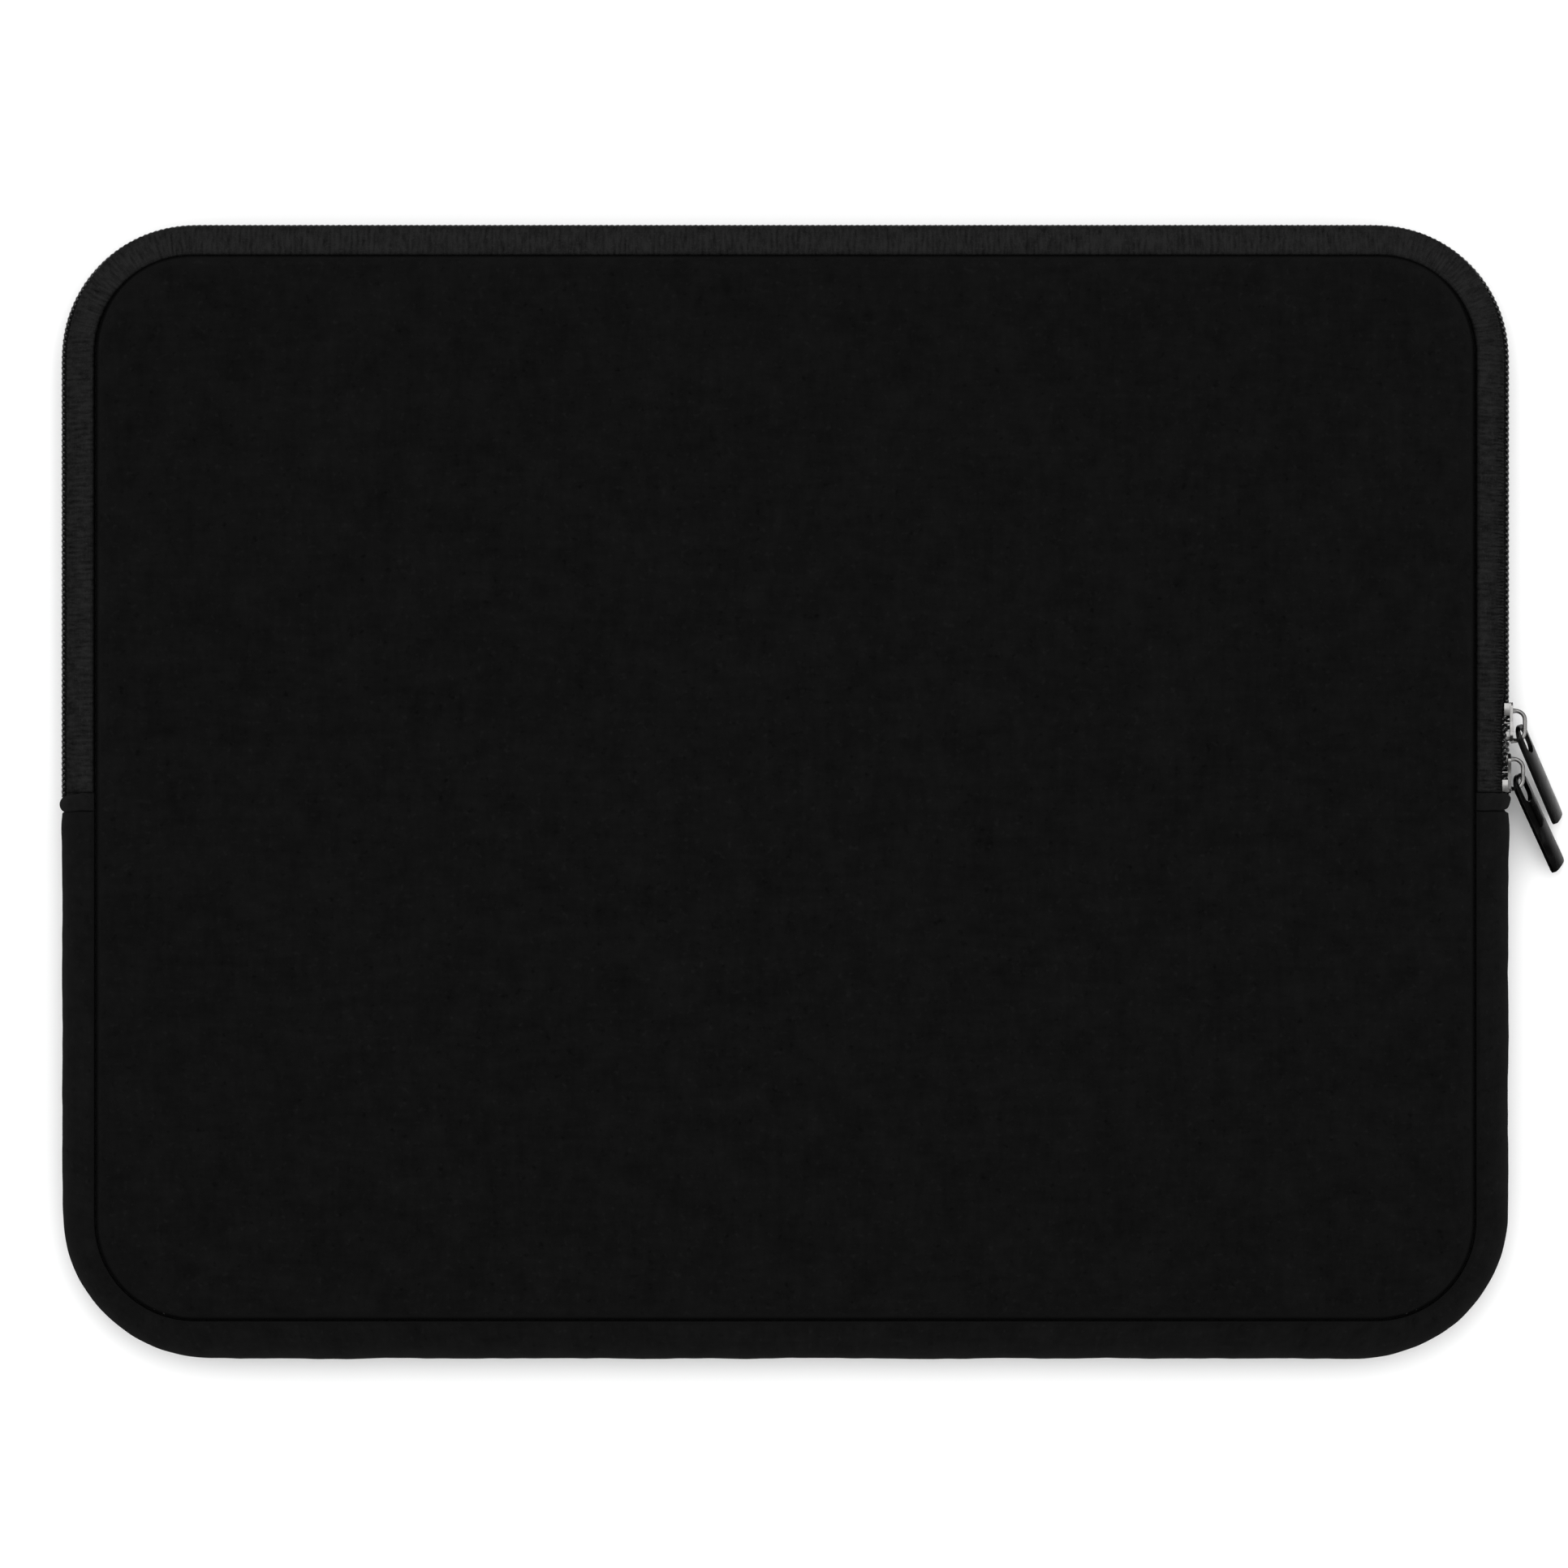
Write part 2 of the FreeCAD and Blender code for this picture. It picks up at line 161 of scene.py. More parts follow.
def strip_faces(rows, columns, round_rows=False, round_columns=False):
    """Quads over a grid of points, which may close on itself either way."""
    row = np.arange(rows if round_rows else rows - 1)
    column = np.arange(columns if round_columns else columns - 1)
    i, j = np.meshgrid(row, column, indexing="ij")
    i, j = i.ravel(), j.ravel()
    i2, j2 = (i + 1) % rows, (j + 1) % columns
    return np.stack([i * columns + j, i2 * columns + j, i2 * columns + j2, i * columns + j2], 1)


def outward(piece):
    """Turns every face of a closed mesh outwards."""
    shape = bmesh.new()
    shape.from_mesh(piece.data)
    bmesh.ops.recalc_face_normals(shape, faces=shape.faces)
    shape.to_mesh(piece.data)
    shape.free()
    return piece


def capped(rows, columns):
    """Faces of a solid through open-ended rings of points, with a cap at each end."""
    faces = strip_faces(rows, columns, False, True).tolist()
    return faces + [list(range(columns)), list(range((rows - 1) * columns, rows * columns))]


def loft(name, rings, cloth, closed_path=False):
    """A closed solid through rings of points, each ring a closed section."""
    rows, columns = rings.shape[:2]
    faces = strip_faces(rows, columns, True, True) if closed_path else capped(rows, columns)
    return outward(make(name, rings, faces, cloth))


def unit(ways):
    """The same directions, at length 1."""
    return ways / np.linalg.norm(ways, axis=1, keepdims=True)


def travelled(line):
    """How far along a line each of its points is."""
    return np.concatenate([[0], np.cumsum(np.linalg.norm(np.diff(line, axis=0), axis=1))])


def tube(line, radius, sides, away):
    """Rings of points round a line. away is, for each point, a direction that is never along the line."""
    along = unit(np.gradient(line, axis=0))
    side = unit(away - (away * along).sum(1, keepdims=True) * along)
    up = np.cross(along, side)
    turn = np.linspace(0, 2 * np.pi, sides, endpoint=False)
    size = np.full(len(line), radius)
    size[0] = size[-1] = radius * TUBE_TIP
    ring = side[:, None] * np.cos(turn)[None, :, None] + up[:, None] * np.sin(turn)[None, :, None]
    return line[:, None] + ring * size[:, None, None]


# ---- the sleeve's edge ----
def half_outline(shape, way, end_y, step):
    """Points round the upper (way 1) or lower (way -1) half of a rounded outline, from right to left."""
    x, (y, r) = shape["x"], shape[way]
    corner_y = y - r
    outer_y, outer_r = OUTER[way]
    lengths = (outer_y - outer_r - way * end_y, outer_r * np.pi / 2, OUTER_X)
    counts = [max(int(length / step), 2) for length in lengths]
    side = np.stack([np.full(counts[0], x), np.linspace(end_y * way, corner_y, counts[0], endpoint=False)], 1)
    turn = np.linspace(0, np.pi / 2, counts[1], endpoint=False)
    corner = np.stack([x - r + r * np.cos(turn), corner_y + r * np.sin(turn)], 1)
    cross = np.stack([np.linspace(x - r, 0, counts[2]), np.full(counts[2], y)], 1)
    right = np.concatenate([side, corner, cross])
    left = right[-2::-1] * [-1, 1]
    return np.concatenate([right, left]) * [1, way]


def soften(line, width):
    """Rounds the joins of a line's straights and arcs, over about width points."""
    window = np.hanning(2 * width + 3)[1:-1]
    window /= window.sum()
    before = 2 * line[0] - line[width:0:-1]
    after = 2 * line[-1] - line[-2 : -width - 2 : -1]
    padded = np.concatenate([before, line, after])
    return np.stack([np.convolve(padded[:, k], window, mode="valid") for k in range(2)], 1)


class Edge:
    """One half of the band round the panels: places are (along, out, height)."""

    def __init__(self, way, end_y, step):
        self.seam = soften(half_outline(SEAM, way, end_y, step), int(2.0 / step))
        self.outer = soften(half_outline(OUTER, way, end_y, step), int(5.0 / step))
        self.along = travelled(self.outer)
        self.length = self.along[-1]

    def at(self, along, out, height):
        """Points for arrays of along, out and height of one shape."""
        seam = np.stack([np.interp(along, self.along, self.seam[:, k]) for k in range(2)], -1)
        outer = np.stack([np.interp(along, self.along, self.outer[:, k]) for k in range(2)], -1)
        flat = seam + (outer - seam) * (out / BAND)[..., None]
        return np.concatenate([flat, height[..., None]], -1)

    def sweep(self, name, along, section, cloth_across):
        """A solid swept along the edge. section gives (out, height), each along by section points."""
        out, height = section
        grid = np.broadcast_to(along[:, None], out.shape)
        cloth = np.stack([grid, np.broadcast_to(cloth_across, out.shape), np.zeros_like(out)], -1)
        return loft(name, self.at(grid, out, height), cloth)


def section_length(out, height):
    """Distance along a section's points."""
    return np.concatenate([[0], np.cumsum(np.hypot(np.diff(out), np.diff(height)))])


def thicken(out, height, wall):
    """A closed section from a line of (out, height) points and the same line moved in by the wall."""
    tangent = unit(np.stack([np.gradient(out), np.gradient(height)], 1))
    inner_out, inner_height = out + tangent[:, 1] * wall, height - tangent[:, 0] * wall
    across = section_length(out, height)
    return (
        np.concatenate([out, inner_out[::-1]]),
        np.concatenate([height, inner_height[::-1]]),
        np.concatenate([across, across[::-1]]),
    )


def on_face(points, front):
    """Points made for the front, or the same places on the back."""
    return points if front else points * [1, 1, -1] + [0, 0, THICKNESS]


# ---- materials ----
def add_node(tree, kind, inputs=None, **settings):
    """A new node. Each input is a value, or another node's socket to join to."""
    made = tree.nodes.new(kind)
    for key, value in settings.items():
        setattr(made, key, value)
    for key, value in (inputs or {}).items():
        if isinstance(value, bpy.types.NodeSocket):
            tree.links.new(value, made.inputs[key])
        else:
            made.inputs[key].default_value = value
    return made


class Shader:
    """A material's node tree, with short ways to add and join nodes."""

    def __init__(self, name, **settings):
        self.material = bpy.data.materials.new(name)
        self.material.use_nodes = True
        self.tree = self.material.node_tree
        self.node = partial(add_node, self.tree)
        self.bsdf = self.tree.nodes["Principled BSDF"]
        for socket, value in settings.items():
            self.bsdf.inputs[socket.replace("_", " ")].default_value = value

    def cloth(self, scale=(1, 1, 1)):
        """The place on the flat cloth in millimetres, stretched by scale."""
        place = self.node("ShaderNodeAttribute", attribute_name="cloth").outputs["Vector"]
        return self.node("ShaderNodeMapping", {"Vector": place, "Scale": scale}).outputs["Vector"]

    def noise(self, vector, scale, detail=3.0, rough=0.55):
        """Cloudy noise, about 0.5 on average."""
        inputs = {"Vector": vector, "Scale": scale, "Detail": detail, "Roughness": rough}
        return self.node("ShaderNodeTexNoise", inputs).outputs["Fac"]

    def wave(self, direction, scale, distortion, detail=2.0, detail_scale=1.0):
        """Parallel bands over the cloth, from 0 to 1."""
        inputs = {"Vector": self.cloth(), "Scale": scale, "Distortion": distortion}
        inputs |= {"Detail": detail, "Detail Scale": detail_scale}
        return self.node("ShaderNodeTexWave", inputs, bands_direction=direction).outputs["Fac"]

    def math(self, operation, a, b):
        return self.node("ShaderNodeMath", {0: a, 1: b}, operation=operation).outputs[0]

    def product(self, *values):
        result = values[0]
        for value in values[1:]:
            result = self.math("MULTIPLY", result, value)
        return result

    def total(self, *parts):
        """The sum of (value, weight) parts."""
        result = self.product(*parts[0])
        for part in parts[1:]:
            result = self.math("ADD", result, self.product(*part))
        return result

    def mix(self, factor, low, high):
        """A colour between two greys, by a factor."""
        inputs = {0: factor, 6: (*low, 1), 7: (*high, 1)}
        return self.node("ShaderNodeMix", inputs, data_type="RGBA").outputs[2]

    def spread(self, value, low, high):
        """A value from low to high, stretched to 0 to 1."""
        inputs = {"Value": value, "From Min": low, "From Max": high}
        return self.node("ShaderNodeMapRange", inputs).outputs["Result"]

    def bump(self, *heights):
        """Adds bumps of (height, strength, depth in metres), one on another."""
        normal = None
        for height, strength, depth in heights:
            inputs = {"Height": height, "Strength": strength, "Distance": depth}
            if normal is not None:
                inputs["Normal"] = normal
            normal = self.node("ShaderNodeBump", inputs).outputs["Normal"]
        self.tree.links.new(normal, self.bsdf.inputs["Normal"])

    def colour(self, socket):
        self.tree.links.new(socket, self.bsdf.inputs["Base Color"])

    def roughness(self, socket):
        self.tree.links.new(socket, self.bsdf.inputs["Roughness"])


def grey(level, warm=0.0):
    """A grey, warmed by a small share."""
    return (level * (1 + warm), level, level * (1 - warm))


def neoprene(name, level):
    """Fine jersey knit over foam: wales and courses, and a faint mottling from the dye."""
    s = Shader(name, Roughness=0.95, Specular_IOR_Level=0.0, Sheen_Weight=0.012, Sheen_Roughness=0.7)
    place = s.cloth()
    wales = s.wave("X", 0.42, 1.2, 1.0, 2.0)
    courses = s.wave("Y", 0.55, 1.2, 1.0, 2.0)
    knit = s.product(wales, courses)
    slub_x = s.noise(s.cloth((0.3, 1.2, 1)), 0.45, 3.0, 0.6)
    slub_y = s.noise(s.cloth((1.2, 0.3, 1)), 0.45, 3.0, 0.6)
    cloud = s.noise(place, 0.12, 5.0, 0.72)
    light_fleck = s.spread(s.noise(place, 0.65, 2.0), 0.6, 0.8)
    dark_fleck = s.spread(s.noise(place, 0.55, 2.0), 0.62, 0.85)
    mottle = s.total((slub_x, 0.25), (slub_y, 0.25), (cloud, 0.6), (light_fleck, 0.3), (dark_fleck, -0.3))
    s.colour(s.mix(s.spread(mottle, 0.3, 0.95), grey(level * 0.4), grey(level * 1.8)))
    fuzz = s.noise(place, 2.4, 2.0)
    s.roughness(s.spread(fuzz, -0.6, 1.6))
    s.bump((knit, 0.22, 0.00012), (fuzz, 0.18, 0.0001))
    return s.material


def plush(name, level):
    """Short brushed pile."""
    s = Shader(name, Roughness=1.0, Specular_IOR_Level=0.08, Sheen_Weight=0.25, Sheen_Roughness=0.5)
    place = s.cloth()
    pile = s.noise(place, 1.6, 5.0, 0.7)
    brushed = s.noise(s.cloth((0.12, 0.5, 1)), 0.4, 3.0)
    tone = s.spread(s.math("ADD", pile, brushed), 0.6, 1.4)
    s.colour(s.mix(tone, grey(level * 0.6), grey(level * 1.5)))
    s.bump((pile, 0.5, 0.0005))
    return s.material


def webbing(name, level):
    """Woven tape: ribs across it, a fuzzy surface and lighter flecks."""
    s = Shader(name, Roughness=0.9, Specular_IOR_Level=0.015)
    ribs = s.wave("X", 0.24, 2.2, 2.0, 1.4)
    picks = s.wave("Y", 0.6, 0.8)
    streaks = s.noise(s.cloth((1.0, 0.22, 1)), 1.2, 4.0, 0.65)
    fuzz = s.noise(s.cloth(), 2.6, 4.0, 0.75)
    patches = s.noise(s.cloth((0.7, 1.0, 1)), 0.35, 4.0, 0.65)
    fleck = s.spread(s.noise(s.cloth((0.8, 1.3, 1)), 1.4, 2.0), 0.6, 0.8)

    place = s.node("ShaderNodeSeparateXYZ", {0: s.cloth()}).outputs
    # painted shade: the tape is painted darker in bands at its puckers beside the coil, near the sliders
    beside_coil = s.spread(place["Y"], 7.2, 9.4)
    near_sliders = s.spread(place["X"], 140.0, 40.0)
    puckers = s.spread(s.wave("X", 0.42, 3.0), 0.6, 0.95)
    pucker_shade = s.product(puckers, beside_coil, s.spread(patches, 0.3, 0.6), near_sliders)
    # painted light: the tape is painted a little lighter along the mouth, the side the light falls from
    painted_light_at_mouth = s.product(s.spread(place["X"], 80.0, 140.0), s.spread(place["X"], 500.0, 440.0))

    cloth = ((streaks, 0.6), (fuzz, 0.25), (patches, 0.3), (ribs, 0.045), (fleck, 0.3))
    tone = s.total(*cloth, (pucker_shade, -0.3), (painted_light_at_mouth, 0.035))
    s.colour(s.mix(s.spread(tone, 0.42, 0.72), grey(level * 0.3), grey(level * 2.05)))
    relief = s.total((streaks, 1.0), (fuzz, 1.0), (picks, 0.3))
    s.bump((ribs, 0.25, 0.00022), (relief, 0.5, 0.0003))
    return s.material


def nylon(name, level):
    """Smooth glossy monofilament, a little uneven in tone from turn to turn."""
    s = Shader(name, Roughness=0.3, Specular_IOR_Level=0.8)
    turn = s.noise(s.cloth(), 0.8, 2.0)
    s.colour(s.mix(turn, grey(level * 0.7), grey(level * 1.4)))
    s.roughness(s.spread(turn, -0.5, 2.2))
    s.bump((s.noise(s.cloth(), 6.0, 2.0), 0.1, 0.00005))
    return s.material


def thread(name, level):
    """Twisted polyester thread."""
    s = Shader(name, Roughness=0.75, Specular_IOR_Level=0.05)
    twist = s.wave("DIAGONAL", 1.1, 0.5)
    s.colour(s.mix(twist, grey(level * 0.6), grey(level * 1.4)))
    s.bump((twist, 0.5, 0.0001))
    return s.material


def plated_metal(name, level, roughness):
    """Polished die-cast metal with a dark plating, with fine wear and faint polishing marks."""
    s = Shader(name, Metallic=1.0)
    place = s.node("ShaderNodeTexCoord").outputs["Object"]
    brushed = s.node("ShaderNodeMapping", {"Vector": place, "Scale": (900, 120, 900)}).outputs["Vector"]
    marks = s.noise(brushed, 1.0, 4.0)
    wear = s.noise(place, 420.0, 5.0, 0.7)
    s.colour(s.mix(s.spread(wear, 0.3, 0.75), grey(level * 0.85, 0.01), grey(level * 1.15, 0.02)))
    s.roughness(s.spread(s.math("ADD", marks, wear), 1.0 - 2.0 * roughness, 1.0 + 8.0 * roughness))
    s.bump((marks, 0.05, 0.00002))
    return s.material


MATERIALS = {
    "neoprene": neoprene("neoprene_knit", 0.003),
    "gusset": neoprene("neoprene_knit_gusset", 0.0035),
    "plush_lining": plush("plush_pile", 0.02),
    "zip_tape": webbing("zip_tape_weave", 0.0062),
    "seam_binding": webbing("binding_weave", 0.012),
    "tab_cloth": neoprene("tab_knit", 0.0046),
    "nylon_coil": nylon("nylon_coil_wire", 0.012),
    "thread": thread("seam_thread_twist", 0.003),
    "coil_thread": thread("coil_thread_twist", 0.007),
    "black_nickel": plated_metal("black_nickel_plate", 0.17, 0.2),
    "pull_lacquer": plated_metal("pull_black_plate", 0.03, 0.14),
}


def finish_piece(piece, material, nodes, body=None, bends=False):
    """Gives a piece its material, hides the CAD nodes it stands for, and joins it to its body. A piece that
    bends
    is joined to no body: its place is baked into its mesh."""
    piece.data.materials.clear()
    piece.data.materials.append(MATERIALS[material])
    if bends:
        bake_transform(piece)
    else:
        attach(piece, body or SLEEVE)
    if nodes:
        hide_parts(*nodes)


# ---- panels and linings ----
def spaced(half, fine, coarse):
    """Places from -half to half, fine at the ends and coarse in the middle."""
    steps, gap = [0.0], fine
    while steps[-1] + gap < half:
        steps.append(steps[-1] + gap)
        gap = min(gap * 1.22, coarse)
    inner = half - np.array(steps)
    return np.concatenate([-inner, [0.0], inner[::-1]])


def panel_grid(fine, coarse):
    """A grid that fills the seam outline: x, y and the distance in from the seam."""
    top, r_top = SEAM[1]
    bottom, r_bottom = SEAM[-1]
    half_x, half_y, middle = SEAM["x"], (top + bottom) / 2, (top - bottom) / 2
    u, v = np.meshgrid(spaced(half_x, fine, coarse), spaced(half_y, fine, coarse), indexing="ij")
    radius = np.where(v > 0, r_top, r_bottom)
    reach = np.maximum(np.maximum(abs(u) / half_x, abs(v) / half_y), 1e-9)
    bu, bv = abs(u) / reach, abs(v) / reach
    in_x, in_y = bu - (half_x - radius), bv - (half_y - radius)
    on_side = abs(u) / half_x >= abs(v) / half_y
    share = np.clip(np.where(on_side, in_y, in_x) / radius, 0, 1)
    turn = np.where(on_side, share * np.pi / 4, np.pi / 2 - share * np.pi / 4)
    in_corner = (in_x > 0) & (in_y > 0)
    round_x = np.where(in_corner, half_x - radius + radius * np.cos(turn), bu)
    round_y = np.where(in_corner, half_y - radius + radius * np.sin(turn), bv)
    weight = reach**8
    x = abs(u) * (1 - weight) + round_x * reach * weight
    y = abs(v) * (1 - weight) + round_y * reach * weight
    qx, qy = x - (half_x - radius), y - (half_y - radius)
    outside = np.hypot(np.maximum(qx, 0), np.maximum(qy, 0))
    inset = np.maximum(radius - outside - np.minimum(np.maximum(qx, qy), 0), 0)
    return np.sign(u) * x, np.sign(v) * y + middle, inset


def sag(x, y, inset):
    """How far the padded front stands from its flat plane: full beside the seam, and slack in the middle."""
    full = 0.45 * np.exp(-(((inset - 9.0) / 8.0) ** 2))
    slack = -0.5 * ease(inset, 15.0, 90.0)
    cloth = 0.16 * dapple(x, y, 70.0, 11) + 0.05 * dapple(x, y, 24.0, 12)
    return (full + slack + cloth) * ease(inset, 0.0, 6.0)


def rim(y, inset):
    """How far the panel falls away beside the seam: a rounded shoulder, then a narrow groove."""
    shut = ease(y, 108.0, 124.0)  # the seam is pulled shut along the mouth
    groove = 1.3 - 0.75 * shut
    shoulder = np.clip(1 - (inset - 0.6 * groove) / 4.4, 0, 1)
    return 2.1 * shoulder**3.2 + (2.6 - 1.7 * shut) * (1 - np.clip(inset / groove, 0, 1) ** 2.2)


def slab(name, grid, top, bottom):
    """A closed slab between two heights over a grid."""
    x, y, _ = grid
    rows, columns = x.shape
    upper = np.stack([x, y, top], -1).reshape(-1, 3)
    lower = np.stack([x, y, bottom], -1).reshape(-1, 3)
    faces = strip_faces(rows, columns)
    first_row = np.arange(columns)
    last_column = np.arange(1, rows) * columns + columns - 1
    last_row = (rows - 1) * columns + np.arange(columns - 2, -1, -1)
    first_column = np.arange(rows - 2, 0, -1) * columns
    edge = np.concatenate([first_row, last_column, last_row, first_column])
    after = np.roll(edge, -1)
    count = rows * columns
    wall = np.stack([edge, after, after + count, edge + count], 1)
    points = np.concatenate([upper, lower])
    return outward(make(name, points, np.concatenate([faces, faces[:, ::-1] + count, wall]), points))


def front_faces(x, y, inset):
    """Heights of the front panel's outer and inner face."""
    lift = sag(x, y, inset)
    top = THICKNESS + lift - rim(y, inset)
    return top, np.minimum(THICKNESS - FOAM + lift * 0.8, top - THINNEST)


def back_faces(x, y, inset):
    """Heights of the back panel's inner and outer face, which lies on the table."""
    face = rim(y, inset) + 0.02 + 0.03 * dapple(x, y, 40.0, 21) ** 2
    return np.maximum(np.full_like(x, FOAM), face + THINNEST), face


def panels():
    """The two neoprene panels."""
    grid = panel_grid(0.28, 2.4)
    front = slab("front_panel_neoprene", grid, *front_faces(*grid))
    finish_piece(front, "neoprene", ["front_panel_lower", "front_panel_upper"], bends=True)
    back = slab("back_panel_neoprene", grid, *back_faces(*grid))
    finish_piece(back, "neoprene", ["back_panel"])


def linings():
    """The plush cloth bonded to the inside of each panel."""
    x, y, inset = grid = panel_grid(0.8, 4.0)
    nap = 0.06 * dapple(x, y, 9.0, 31)
    top = front_faces(*grid)[1] - GLUE
    front = slab("front_lining_plush", grid, top, top - PLUSH + nap)
    front_nodes = ["front_lining_lower", "front_lining_upper"]
    finish_piece(front, "plush_lining", front_nodes, bends=True)
    bottom = back_faces(*grid)[0] + GLUE
    back = slab("back_lining_plush", grid, bottom + PLUSH + nap, bottom)
    finish_piece(back, "plush_lining", ["back_lining"])


# ---- gusset and end tabs ----
def c_line(top, out):
    """The gusset's outer face in section, from the front seam round to the back seam."""
    turn = np.linspace(np.pi / 2, -np.pi / 2, 34)
    squareness = 2.5
    start = 1.3
    body_out = start + (out - start) * abs(np.cos(turn)) ** (2 / squareness)
    body_height = MID + np.sign(np.sin(turn)) * (top - MID) * abs(np.sin(turn)) ** (2 / squareness)
    lip_out = np.array([-0.1, 0.02, 0.16, 0.4, 0.8])  # the lip is sewn to the panel's edge
    lip_height = np.array([3.9, 2.2, 1.1, 0.42, 0.1])
    return (
        np.concatenate([lip_out, body_out, lip_out[::-1]]),
        np.concatenate([top - lip_height, body_height, THICKNESS - top + lip_height[::-1]]),
    )


def gusset(edge, along):
    """The padded strip round the lower half, a little swollen beside its ends."""
    out, height, across = thicken(*c_line(THICKNESS - 1.15, BAND), GUSSET_WALL)
    from_end = np.minimum(along, edge.length - along)
    tuck = 1.5 * np.exp(-((from_end / 0.55) ** 4))  # the ends turn in under the tabs
    swell = 0.28 * np.exp(-(((from_end - 4.5) / 4.0) ** 2)) - 0.5 * tuck
    swell = swell + 0.13 * waver(along, 34.0, 41) + 0.05 * waver(along, 9.0, 42)
    outs = out[None] * (1 + swell[:, None] / BAND)
    taller = 1 + (0.35 * swell - tuck)[:, None] / MID
    heights = MID + (height[None] - MID) * taller + 0.05 * waver(along, 14.0, 43)[:, None]
    piece = edge.sweep("gusset_neoprene", along, (outs, np.maximum(heights, 0.25)), across)
    finish_piece(piece, "gusset", ["gusset"])


def gusset_lining(edge, along):
    """The plush cloth inside the gusset."""
    out, height, across = thicken(*c_line(THICKNESS - 3.75, BAND - 2.6), GUSSET_LINING_WALL)
    shape = (len(along), len(out))
    rings = (np.broadcast_to(out, shape), np.broadcast_to(height, shape))
    piece = edge.sweep("gusset_lining_plush", along, rings, across)
    finish_piece(piece, "plush_lining", ["gusset_lining"])


def lower_half():
    """The gusset and its lining. Their edge has extra places close to its ends, where the gusset tucks in."""
    edge = Edge(-1, GUSSET_HIGH[1], 0.8)
    along = np.linspace(0, edge.length, int(edge.length / 1.1))
    ends = np.linspace(0, 1.0, 8, endpoint=False)
    along = np.concatenate([ends, along[1:-1], edge.length - ends[::-1]])
    gusset(edge, along)
    gusset_lining(edge, along[::2])


def end_tab(side, name, node):
    """The folded strip over a zip end: a soft roll between two creases, with a slanting wrinkle."""
    out, height, across = thicken(*c_line(THICKNESS - 1.05, BAND), TAB_WALL)
    centre_out = 3.0
    overlap = 0.3  # the tab reaches this far past its CAD solid, over the gusset and over the tape
    y = np.linspace(TAB_HIGH[1] + overlap, TAB_LOW[1] - overlap, 30)
    t = np.linspace(-1, 1, len(y))[:, None]
    roll = 1.7 * np.maximum(1 - np.abs(t) ** 3, 0) ** 0.5 - 1.3
    slant = 0.3 * np.sin(1.1 * out[None] + 2.6 * t + 0.7 * side) * (1 - t**2)
    uneven = (0.6 + 0.4 * waver(out * 3.0, 6.0, 51 + side))[None]
    grow = roll * (0.7 + 0.5 * out[None] / BAND) + slant * uneven
    rise = (height - MID) * 0.8
    reach = np.hypot(out - centre_out, rise) + 0.1
    wide = out[None] + grow * ((out - centre_out) / reach)[None].clip(0, 1)
    tall = height[None] + grow * (rise / reach)[None]
    x = side * (SEAM["x"] + wide * (OUTER_X - SEAM["x"]) / BAND)
    skew = 0.55 * ease(out, 1.5, 7.0) if side < 0 else 0.0  # the left one was sewn in askew
    y = y[:, None] + (0.16 * waver(out * 2.0, 11.0, 53 + side) - skew)[None]
    rings = np.stack([x, y, np.maximum(tall, 0.2)], -1)
    cloth = np.stack([np.broadcast_to(across, x.shape), y, 0 * x], -1)
    piece = loft(name, rings, cloth)
    finish_piece(piece, "tab_cloth", [node])


# ---- zip ----
UPPER_EDGE = Edge(1, ZIP_END - 1.0, 0.8)  # the zip's ends tuck in under the end tabs
TURN_OVER = Matrix.Translation((0, 0, THICKNESS * MM)) @ Matrix.Diagonal((1, 1, -1, 1))


def tape_line():
    """The tape's outer face in section, from the seam over to the coil."""
    turn = np.linspace(np.pi / 2, 0, 12)
    radius, fullness = 4.7, 0.8
    lip_out = [-0.1, 0.02, 0.12, 0.3, 0.62, 1.1]  # the lip is sewn to the panel's edge, deep in the groove
    lip_height = [3.6, 2.2, 1.0, 0.35, 0.08, 0.0]
    foot_out = [TAPE_OUT + reach for reach in (0.0, 0.12, 0.5)]  # the foot runs in under the coil
    out = np.concatenate([lip_out, TAPE_OUT - radius + radius * np.cos(turn) ** fullness, foot_out])
    round_height = TAPE_TOP - radius + radius * np.sin(turn) ** fullness
    foot_height = [TAPE_FOOT, 11.7, 10.9]
    height = np.concatenate([TAPE_TOP - np.array(lip_height), round_height, foot_height])
    return out, height


def zip_nodes(kind, front):
    """The CAD nodes of a row of the zip. At the front its two ends are nodes of their own."""
    if front:
        return [f"front_{kind}", f"front_{kind}_end_right", f"front_{kind}_end_left"]
    return [f"back_{kind}"]


def drawn_in(along):
    """How far the tape is drawn in where the rows of coil are parted."""
    y = np.interp(along, UPPER_EDGE.along, UPPER_EDGE.outer[:, 1])
    on_right = along < UPPER_EDGE.length / 2
    return 0.6 * np.where(on_right, 1 - ease(y, 17.0, 24.0), 0)


def overhang(along, height):
    """How far the tape's round bulges out over the coil, along the mouth."""
    y = np.interp(along, UPPER_EDGE.along, UPPER_EDGE.outer[:, 1])
    return 1.0 * ease(y, 108.0, 131.0) * ease(height, 11.6, 13.6)


